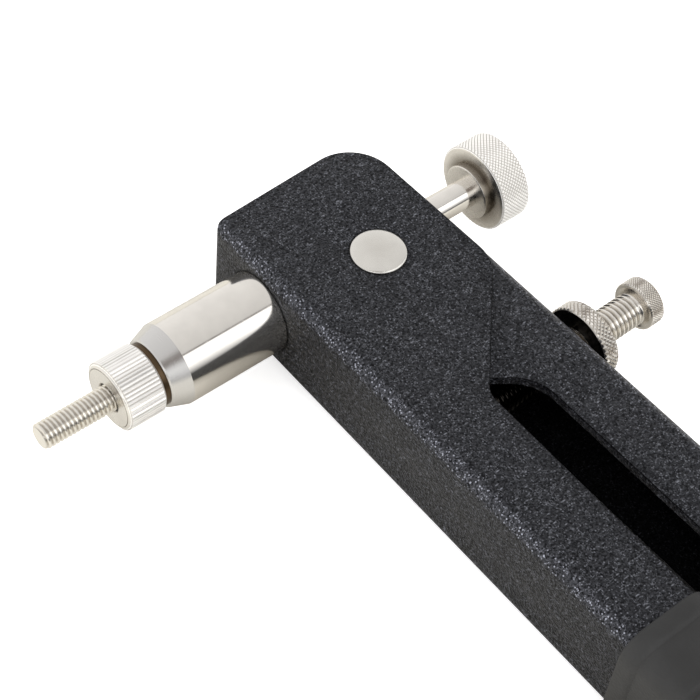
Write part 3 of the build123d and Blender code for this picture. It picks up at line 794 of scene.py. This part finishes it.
def make_lock_nut():
    """Lock nut of the stop screw: a thin round nut with coarse diamond knurling."""
    places, radii = rims("stop_lock_nut", stop_line)
    back, back_full, front_full, front = places
    bore, rim, crest = radii
    cells = 46
    rows = 6
    bore_break = 0.4 * MM
    mesh = bmesh.new()
    angles = cell_angles(cells)
    knurl_front, knurl_back = diamond_band(mesh, cells, rows, front_full, back_full, crest, NUT_KNURL_DEPTH)
    before = [ring(mesh, angles, place, radius) for place, radius in (
        (front - bore_break, bore), (front, bore + bore_break), (front, rim))]
    behind = [ring(mesh, angles, place, radius) for place, radius in (
        (back, rim), (back, bore + bore_break), (back + bore_break, bore))]
    skin_through(mesh, before + [knurl_front])
    skin_through(mesh, [knurl_back] + behind + before[:1])
    nut = finished(mesh, "knurled_lock_nut", placement(stop_line), "stop_nut", nut_nickel,
                   "knurled_nickel", "stop_lock_nut")
    # The nut's front face is painted near black: painted shade.
    second_material(nut, stop_line, painted_shade_black, front - 0.01 * MM, front + 0.01 * MM)


def make_return_spring():
    """Return spring: round wire coiled between the housing's step and the seat washer."""
    low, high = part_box("return_spring")
    back, front = low.x, high.x
    wire = 0.5 * MM
    coil = high.z - wire
    turns = 3.5
    steps = 168
    forward = Vector((1, 0, 0))
    mesh = bmesh.new()
    sections = []
    for step in range(steps + 1):
        angle = FULL_TURN * turns * step / steps
        place = back + wire + (front - back - 2 * wire) * step / steps
        outward = Vector((0, cos(angle), sin(angle)))
        core = place * forward + coil * outward
        sections.append([mesh.verts.new(core + wire * (cos(turn) * outward + sin(turn) * forward))
                         for turn in even_angles(12)])
    skin_through(mesh, sections)
    mesh.faces.new(sections[0])
    mesh.faces.new(sections[-1])
    spring = finished(mesh, "coiled_return_spring", Matrix.Identity(4), None, spring_steel,
                      "spring_steel", "return_spring")
    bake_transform(spring)


# ---- Grips ----


def rounded_box(low, high, corner_radii, steps=8):
    """Points round a rectangle whose corners are rounded, from its (+, +) corner anticlockwise."""
    points = []
    corners = [(high[0], high[1]), (low[0], high[1]), (low[0], low[1]), (high[0], low[1])]
    signs = [(-1, -1), (1, -1), (1, 1), (-1, 1)]
    for number, ((x, y), (sx, sy), radius) in enumerate(zip(corners, signs, corner_radii)):
        for step in range(steps + 1):
            angle = radians(90) * (number + step / steps)
            points.append((x + radius * (sx + cos(angle)), y + radius * (sy + sin(angle))))
    return points


def make_grip(name, node, body, handle_node, direction):
    """Soft grip: a bead at its mouth, a band of cross ribs and a rounded end, hollow for the handle."""
    across = Vector((0, 0, 1)).cross(direction)
    matrix = Matrix((direction, across, Vector((0, 0, 1)))).transposed().to_4x4()
    inverse = matrix.inverted()

    def extent(of_node):
        corners = [inverse @ vertex.co for vertex in frame["nodes"][of_node].data.vertices]
        low = Vector([min(corner[i] for corner in corners) for i in range(3)])
        high = Vector([max(corner[i] for corner in corners) for i in range(3)])
        return low, high

    low, high = extent(node)
    _, handle_high = extent(handle_node)
    wall = high.x - handle_high.x
    corner = 6.0 * MM
    least_corner = 0.5 * MM
    end_round = 4.0 * MM
    bead = 4.0 * MM
    bead_edge = 0.8 * MM
    bead_step = 0.7 * MM
    ribs = 15
    rib_pitch = 4.0 * MM
    rib_depth = 0.7 * MM
    rib_start = low.x + 14 * MM
    mesh = bmesh.new()

    def section(place, inset):
        box_low = (low.y + inset, low.z + inset)
        box_high = (high.y - inset, high.z - inset)
        outline = rounded_box(box_low, box_high, [max(least_corner, corner - inset)] * 4)
        return [mesh.verts.new((place, y, z)) for y, z in outline]

    bead_profile = (  # distance from the mouth, and inset
        (0, bead_edge), (0.25 * MM, 0.25 * MM), (bead_edge, 0),
        (bead - bead_edge, 0), (bead, 0.3 * MM), (bead + 0.5 * MM, bead_step))
    rib_profile = (  # shares of a rib's pitch and of its depth
        (0, 0), (0.10, 0.15), (0.22, 0.85), (0.32, 1.0), (0.42, 0.85), (0.54, 0.15), (0.64, 0))
    rings = [section(low.x + place, inset) for place, inset in bead_profile]
    for rib in range(ribs):
        place = rib_start + rib * rib_pitch
        rings += [section(place + share * rib_pitch, bead_step + depth * rib_depth)
                  for share, depth in rib_profile]
    for step in range(0, 91, 15):
        turn = radians(step)
        rings.append(section(high.x - end_round * (1 - sin(turn)), bead_step + end_round * (1 - cos(turn))))
    skin_through(mesh, rings)
    mesh.faces.new(rings[-1])

    clearance = 0.03 * MM
    pocket_low = (low.y + wall - clearance, low.z + wall - clearance)
    pocket_high = (high.y - wall + clearance, high.z - wall + clearance)
    fold = 2.8 * MM     # radius of the handle's folds, on the side of its web
    edge = 0.2 * MM
    corner_radii = [edge, fold, fold, edge] if body == "frame" else [fold, edge, edge, fold]
    pocket = rounded_box(pocket_low, pocket_high, corner_radii)
    mouth = [mesh.verts.new((low.x, y, z)) for y, z in pocket]
    floor = [mesh.verts.new((high.x - wall, y, z)) for y, z in pocket]
    skin(mesh, rings[0], mouth)
    skin(mesh, mouth, floor)
    mesh.faces.new(floor)
    finished(mesh, name, matrix, body, grip_pvc, "grip_pvc", node)


make_rivet()
make_mandrel()
make_anvil_sleeve()
make_rear_knob()
make_stop_screw()
make_lock_nut()
make_return_spring()
front_handle_direction = Vector((0, 1, 0))
rear_handle_direction = Vector((0, 0, 1)).cross(stop_line.direction)
make_grip("ribbed_front_grip", "front_grip", "frame", "body_channel", front_handle_direction)
make_grip("ribbed_rear_grip", "rear_grip", "lever", "lever_channel", rear_handle_direction)

# ---- Stage: floor, studio light and camera ----

VIEW_DIRECTION = Vector((-0.43553, -0.44128, -0.78460))
CAMERA_PLACE = Vector((132.4, 202.57, 325.31)) * MM
CAMERA_ROLL = radians(6.72)
LENS_LENGTH = 100.88        # millimetres, on a 36 mm sensor

WALL_BRIGHT = (1.04, 1.03, 1.02, 1.0)
WALL_DIM = (0.74, 0.73, 0.72, 1.0)
WINDOW_FRAME = (0.25, 0.24, 0.23, 1.0)
WINDOW_FRAME_AHEAD = (0.07, 0.05, 0.04, 1.0)
CAMERA_TONE = (0.20, 0.16, 0.14, 1.0)
FLOOR_SHADED = (0.34, 0.31, 0.26, 1.0)
FLOOR_OPEN = (0.82, 0.80, 0.74, 1.0)


def make_floor():
    """A plain white floor under the tool. Polished metal sees it beige, and darker close to the tool."""
    half = 1.5
    mesh = bpy.data.meshes.new("floor")
    corners = [(x, y, cad_low.z) for x, y in ((-half, -half), (half, -half), (half, half), (-half, half))]
    mesh.from_pydata(corners, [], [(0, 1, 2, 3)])
    shader = Shader("pale_floor")
    tone = shader.noise(shader.here(), 40 * MM, 2.0)
    white = shader.node("BsdfPrincipled", {
        "Base Color": shader.mix(tone, grey(0.90), grey(0.93)), "Roughness": 0.9,
        "Specular IOR Level": 0.1, "Emission Color": grey(1.0), "Emission Strength": 0.55})
    openness = shader.node("AmbientOcclusion", {"Distance": 25 * MM}, samples=8).outputs["AO"]
    beige = shader.node("BsdfDiffuse", {"Color": shader.mix(openness, FLOOR_SHADED, FLOOR_OPEN)})
    in_mirror = shader.node("LightPath", {}).outputs["Is Glossy Ray"]
    either = shader.node("MixShader", {0: in_mirror, 1: white.outputs[0], 2: beige.outputs[0]})
    shader.node("OutputMaterial", {"Surface": either.outputs[0]})
    mesh.materials.append(shader.material)
    floor = bpy.data.objects.new("floor", mesh)
    bpy.context.scene.collection.objects.link(floor)


def make_world():
    """A pale studio that polished metal mirrors, seen as plain white by the camera.

    Its walls dim towards a long bright window with a dark frame. Past the window comes a dark horizon,
    and the camera is a dark shape. The slope of a direction is its angle about X, from +Z towards +Y.
    A little ahead of the tool, towards +X, the frame is broader and the window and horizon are fainter.
    """
    world = bpy.data.worlds.new("studio")
    world.use_nodes = True
    shader = Shader("studio", world.node_tree)
    towards = shader.node("TexCoord", {}).outputs["Generated"]
    parts = shader.node("SeparateXYZ", {"Vector": towards}).outputs
    slope = shader.math("ARCTAN2", parts["Y"], parts["Z"])
    ahead = shader.math("MULTIPLY", shader.remap(parts["X"], 0.05, 0.30),
                        shader.remap(parts["X"], 0.42, 0.50, 1.0, 0.0))

    tone = shader.mix(shader.remap(slope, -1.6, 0.55), WALL_BRIGHT, WALL_DIM)
    bar = shader.remap(slope, shader.remap(ahead, 0.0, 1.0, 0.515, 0.25), 0.535)
    tone = shader.mix(bar, tone, shader.mix(ahead, WINDOW_FRAME, WINDOW_FRAME_AHEAD))
    window = shader.remap(slope, 0.585, shader.remap(ahead, 0.0, 1.0, 0.605, 0.90))
    tone = shader.mix(window, tone, shader.mix(ahead, grey(1.55), grey(0.95)))
    horizon = shader.math("MULTIPLY", shader.remap(slope, 1.08, 1.48), shader.remap(slope, 1.8, 2.4, 1, 0))
    horizon = shader.math("MULTIPLY", horizon, shader.remap(ahead, 0.0, 1.0, 1.0, 0.4))
    tone = shader.mix(horizon, tone, grey(0.16))
    facing = shader.vector_math("DOT_PRODUCT", towards, -VIEW_DIRECTION).outputs["Value"]
    camera_shape = shader.remap(facing, cos(radians(16)), cos(radians(7)))
    tone = shader.mix(camera_shape, tone, CAMERA_TONE)
    seen = shader.node("LightPath", {}).outputs["Is Camera Ray"]
    background = shader.node("Background", {"Color": shader.mix(seen, tone, grey(1.0)), "Strength": 1.0})
    shader.node("OutputWorld", {"Surface": background.outputs[0]})
    bpy.context.scene.world = world


def make_softbox(name, towards, size, power):
    """A soft square light that faces the tool's head and isn't mirrored in its metal."""
    distance = 0.60
    head = (middle("nose_housing") + middle("pivot_rivet")) / 2
    data = bpy.data.lights.new(name, "AREA")
    data.shape = "SQUARE"
    data.size = size
    data.energy = power
    light = bpy.data.objects.new(name, data)
    direction = Vector(towards).normalized()
    light.location = head + distance * direction
    light.rotation_mode = "QUATERNION"
    light.rotation_quaternion = direction.to_track_quat("Z", "Y")
    light.visible_glossy = False
    bpy.context.scene.collection.objects.link(light)


def make_camera():
    """Camera at the photograph's viewing angle."""
    data = bpy.data.cameras.new("camera")
    data.sensor_width = 36.0
    data.lens = LENS_LENGTH
    data.clip_start = 0.01
    data.clip_end = 10
    camera = bpy.data.objects.new("camera", data)
    camera.location = CAMERA_PLACE
    camera.rotation_mode = "QUATERNION"
    roll = Quaternion((0, 0, 1), CAMERA_ROLL)
    camera.rotation_quaternion = VIEW_DIRECTION.to_track_quat("-Z", "Y") @ roll
    bpy.context.scene.collection.objects.link(camera)
    bpy.context.scene.camera = camera


make_floor()
make_world()
make_softbox("key_softbox", (0.80, -0.30, 0.52), size=0.80, power=2.3)
make_softbox("fill_softbox", (0.0, 0.80, 0.60), size=0.60, power=1.3)
make_camera()
bpy.context.scene.view_settings.view_transform = "Standard"
